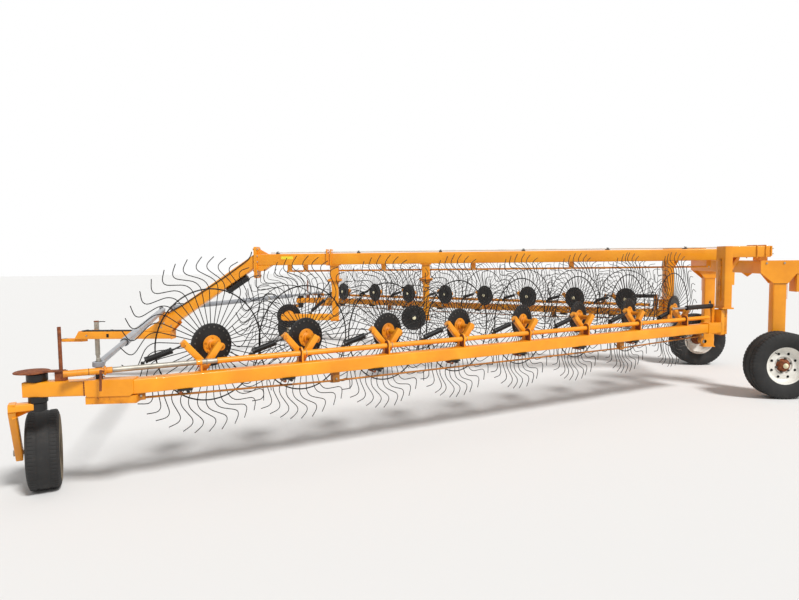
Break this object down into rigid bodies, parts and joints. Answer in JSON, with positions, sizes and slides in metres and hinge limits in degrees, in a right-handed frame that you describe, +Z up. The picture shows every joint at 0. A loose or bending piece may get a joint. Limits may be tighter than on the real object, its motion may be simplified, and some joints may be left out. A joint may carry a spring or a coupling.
{
  "type": "v-rake",
  "caption": "Towed farm rake with an overhead frame on two wheels and two hinged arms that carry rows of slanted finger wheels and end in castors.",
  "frame": {"origin": "on the ground under the middle of the machine's length and width", "axes": "+X to the machine's rear, +Y to its right, +Z up"},
  "size_m": [9.56, 8.7306, 1.825],
  "materials": {
    "black_steel": "satin black paint on spring steel",
    "chrome_rod": "hard chrome plating",
    "grey_steel": "light grey paint",
    "tyre": "worn rubber, dusty",
    "white_paint": "gloss white paint",
    "yellow_paint": "semi-gloss orange-yellow paint, weathered"
  },
  "bodies": {
    "frame": {"drawbar": "yellow_paint", "gooseneck": "yellow_paint", "beam_joint": "yellow_paint", "main_beam": "yellow_paint", "truss_rod": "yellow_paint", "front_centre_mount": "yellow_paint", "rear_centre_mount": "yellow_paint", "cross_beam": "yellow_paint", "left_hinge_column": "yellow_paint", "right_hinge_column": "yellow_paint", "left_wheel_leg": "yellow_paint", "right_wheel_leg": "yellow_paint", "jack_tube": "grey_steel", "hydraulic_pipes": "white_paint", "kicker_hydraulics": "black_steel"},
    "jack_leg": {"jack_leg": "grey_steel"},
    "left_arm": {"left_arm_beam": "yellow_paint", "left_crank_set": "yellow_paint", "left_lift_pipe": "yellow_paint", "left_spring_set": "black_steel", "left_lift_ram": "black_steel", "left_arm_truss": "yellow_paint"},
    "left_finger_wheel_8": {"left_finger_wheel_8": "black_steel"},
    "left_finger_wheel_7": {"left_finger_wheel_7": "black_steel"},
    "left_finger_wheel_6": {"left_finger_wheel_6": "black_steel"},
    "left_finger_wheel_5": {"left_finger_wheel_5": "black_steel"},
    "left_finger_wheel_4": {"left_finger_wheel_4": "black_steel"},
    "left_finger_wheel_3": {"left_finger_wheel_3": "black_steel"},
    "left_finger_wheel_2": {"left_finger_wheel_2": "black_steel"},
    "left_finger_wheel_1": {"left_finger_wheel_1": "black_steel"},
    "left_castor": {"left_castor_yoke": "yellow_paint"},
    "left_castor_wheel": {"left_castor_rim": "white_paint", "left_castor_tyre": "tyre"},
    "left_ram_barrel": {"left_ram_barrel": "grey_steel"},
    "left_ram_rod": {"left_ram_rod": "chrome_rod"},
    "left_rear_wheel": {"left_rear_rim": "white_paint", "left_rear_tyre": "tyre"},
    "right_arm": {"right_arm_beam": "yellow_paint", "right_crank_set": "yellow_paint", "right_lift_pipe": "yellow_paint", "right_spring_set": "black_steel", "right_lift_ram": "black_steel", "right_arm_truss": "yellow_paint"},
    "right_finger_wheel_8": {"right_finger_wheel_8": "black_steel"},
    "right_finger_wheel_7": {"right_finger_wheel_7": "black_steel"},
    "right_finger_wheel_6": {"right_finger_wheel_6": "black_steel"},
    "right_finger_wheel_5": {"right_finger_wheel_5": "black_steel"},
    "right_finger_wheel_4": {"right_finger_wheel_4": "black_steel"},
    "right_finger_wheel_3": {"right_finger_wheel_3": "black_steel"},
    "right_finger_wheel_2": {"right_finger_wheel_2": "black_steel"},
    "right_finger_wheel_1": {"right_finger_wheel_1": "black_steel"},
    "right_castor": {"right_castor_yoke": "yellow_paint"},
    "right_castor_wheel": {"right_castor_rim": "white_paint", "right_castor_tyre": "tyre"},
    "right_ram_barrel": {"right_ram_barrel": "grey_steel"},
    "right_ram_rod": {"right_ram_rod": "chrome_rod"},
    "right_rear_wheel": {"right_rear_rim": "white_paint", "right_rear_tyre": "tyre"},
    "front_centre_wheel": {"front_centre_wheel": "black_steel"},
    "rear_centre_wheel": {"rear_centre_wheel": "black_steel"}
  },
  "joints": [
    {"name": "jack_slide", "type": "slide", "parent": "frame", "child": "jack_leg", "axis": [0, 0, 1], "range_m": [0, 0.29]},
    {"name": "left_arm_hinge", "type": "hinge", "parent": "frame", "child": "left_arm", "pos_m": [3.85, -0.842, 0.796], "axis": [0, 0, 1], "range_deg": [-7, 2]},
    {"name": "left_finger_wheel_8_spin", "type": "hinge", "parent": "left_arm", "child": "left_finger_wheel_8", "pos_m": [3.26584, -0.87462, 1.004], "axis": [0.7193, -0.6947, 0], "continuous": true},
    {"name": "left_finger_wheel_7_spin", "type": "hinge", "parent": "left_arm", "child": "left_finger_wheel_7", "pos_m": [2.61199, -1.26594, 1.004], "axis": [0.7193, -0.6947, 0], "continuous": true},
    {"name": "left_finger_wheel_6_spin", "type": "hinge", "parent": "left_arm", "child": "left_finger_wheel_6", "pos_m": [1.95815, -1.65726, 1.004], "axis": [0.7193, -0.6947, 0], "continuous": true},
    {"name": "left_finger_wheel_5_spin", "type": "hinge", "parent": "left_arm", "child": "left_finger_wheel_5", "pos_m": [1.3043, -2.04858, 1.004], "axis": [0.7193, -0.6947, 0], "continuous": true},
    {"name": "left_finger_wheel_4_spin", "type": "hinge", "parent": "left_arm", "child": "left_finger_wheel_4", "pos_m": [0.65046, -2.43989, 1.004], "axis": [0.7193, -0.6947, 0], "continuous": true},
    {"name": "left_finger_wheel_3_spin", "type": "hinge", "parent": "left_arm", "child": "left_finger_wheel_3", "pos_m": [-0.00339, -2.83121, 1.004], "axis": [0.7193, -0.6947, 0], "continuous": true},
    {"name": "left_finger_wheel_2_spin", "type": "hinge", "parent": "left_arm", "child": "left_finger_wheel_2", "pos_m": [-0.65723, -3.22253, 1.004], "axis": [0.7193, -0.6947, 0], "continuous": true},
    {"name": "left_finger_wheel_1_spin", "type": "hinge", "parent": "left_arm", "child": "left_finger_wheel_1", "pos_m": [-1.31108, -3.61385, 1.004], "axis": [0.7193, -0.6947, 0], "continuous": true},
    {"name": "left_castor_swivel", "type": "hinge", "parent": "left_arm", "child": "left_castor", "pos_m": [-2.2917, -4.2386, 0.745], "axis": [0, 0, 1], "continuous": true},
    {"name": "left_castor_wheel_spin", "type": "hinge", "parent": "left_castor", "child": "left_castor_wheel", "pos_m": [-2.4517, -3.96147, 0.285], "axis": [-0.866, -0.5, 0], "continuous": true},
    {"name": "left_ram_swing", "type": "hinge", "parent": "frame", "child": "left_ram_barrel", "pos_m": [-3.247, -0.15, 0.985], "axis": [0, 0, 1], "range_deg": [-2.5, 1]},
    {"name": "left_ram_slide", "type": "slide", "parent": "left_ram_barrel", "child": "left_ram_rod", "axis": [0.3185, -0.9479, -0.0078], "range_m": [-0.81, 0.235]},
    {"name": "left_rear_wheel_spin", "type": "hinge", "parent": "frame", "child": "left_rear_wheel", "pos_m": [4.4, -1.1, 0.38], "axis": [0, 1, 0], "continuous": true},
    {"name": "right_arm_hinge", "type": "hinge", "parent": "frame", "child": "right_arm", "pos_m": [3.85, 0.842, 0.796], "axis": [0, 0, -1], "range_deg": [-7, 2]},
    {"name": "right_finger_wheel_8_spin", "type": "hinge", "parent": "right_arm", "child": "right_finger_wheel_8", "pos_m": [3.26584, 0.87462, 1.004], "axis": [0.7193, 0.6947, 0], "continuous": true},
    {"name": "right_finger_wheel_7_spin", "type": "hinge", "parent": "right_arm", "child": "right_finger_wheel_7", "pos_m": [2.61199, 1.26594, 1.004], "axis": [0.7193, 0.6947, 0], "continuous": true},
    {"name": "right_finger_wheel_6_spin", "type": "hinge", "parent": "right_arm", "child": "right_finger_wheel_6", "pos_m": [1.95815, 1.65726, 1.004], "axis": [0.7193, 0.6947, 0], "continuous": true},
    {"name": "right_finger_wheel_5_spin", "type": "hinge", "parent": "right_arm", "child": "right_finger_wheel_5", "pos_m": [1.3043, 2.04858, 1.004], "axis": [0.7193, 0.6947, 0], "continuous": true},
    {"name": "right_finger_wheel_4_spin", "type": "hinge", "parent": "right_arm", "child": "right_finger_wheel_4", "pos_m": [0.65046, 2.43989, 1.004], "axis": [0.7193, 0.6947, 0], "continuous": true},
    {"name": "right_finger_wheel_3_spin", "type": "hinge", "parent": "right_arm", "child": "right_finger_wheel_3", "pos_m": [-0.00339, 2.83121, 1.004], "axis": [0.7193, 0.6947, 0], "continuous": true},
    {"name": "right_finger_wheel_2_spin", "type": "hinge", "parent": "right_arm", "child": "right_finger_wheel_2", "pos_m": [-0.65723, 3.22253, 1.004], "axis": [0.7193, 0.6947, 0], "continuous": true},
    {"name": "right_finger_wheel_1_spin", "type": "hinge", "parent": "right_arm", "child": "right_finger_wheel_1", "pos_m": [-1.31108, 3.61385, 1.004], "axis": [0.7193, 0.6947, 0], "continuous": true},
    {"name": "right_castor_swivel", "type": "hinge", "parent": "right_arm", "child": "right_castor", "pos_m": [-2.2917, 4.2386, 0.745], "axis": [0, 0, 1], "continuous": true},
    {"name": "right_castor_wheel_spin", "type": "hinge", "parent": "right_castor", "child": "right_castor_wheel", "pos_m": [-2.4517, 3.96147, 0.285], "axis": [-0.866, 0.5, 0], "continuous": true},
    {"name": "right_ram_swing", "type": "hinge", "parent": "frame", "child": "right_ram_barrel", "pos_m": [-3.247, 0.15, 0.985], "axis": [0, 0, -1], "range_deg": [-2.5, 1]},
    {"name": "right_ram_slide", "type": "slide", "parent": "right_ram_barrel", "child": "right_ram_rod", "axis": [0.3185, 0.9479, -0.0078], "range_m": [-0.81, 0.235]},
    {"name": "right_rear_wheel_spin", "type": "hinge", "parent": "frame", "child": "right_rear_wheel", "pos_m": [4.4, 1.1, 0.38], "axis": [0, 1, 0], "continuous": true},
    {"name": "front_centre_wheel_spin", "type": "hinge", "parent": "frame", "child": "front_centre_wheel", "pos_m": [-1.597, 0.2, 0.86], "axis": [-0.2079, 0.9781, 0], "continuous": true},
    {"name": "rear_centre_wheel_spin", "type": "hinge", "parent": "frame", "child": "rear_centre_wheel", "pos_m": [0.167, -0.2, 0.86], "axis": [-0.2079, 0.9781, 0], "continuous": true}
  ],
  "couplings": [
    {"joint": "left_ram_swing", "follows": "left_arm_hinge", "ratio": 0.28},
    {"joint": "left_ram_slide", "follows": "left_arm_hinge", "m_per_rad": 6.55},
    {"joint": "right_ram_swing", "follows": "right_arm_hinge", "ratio": 0.28},
    {"joint": "right_ram_slide", "follows": "right_arm_hinge", "m_per_rad": 6.55}
  ]
}
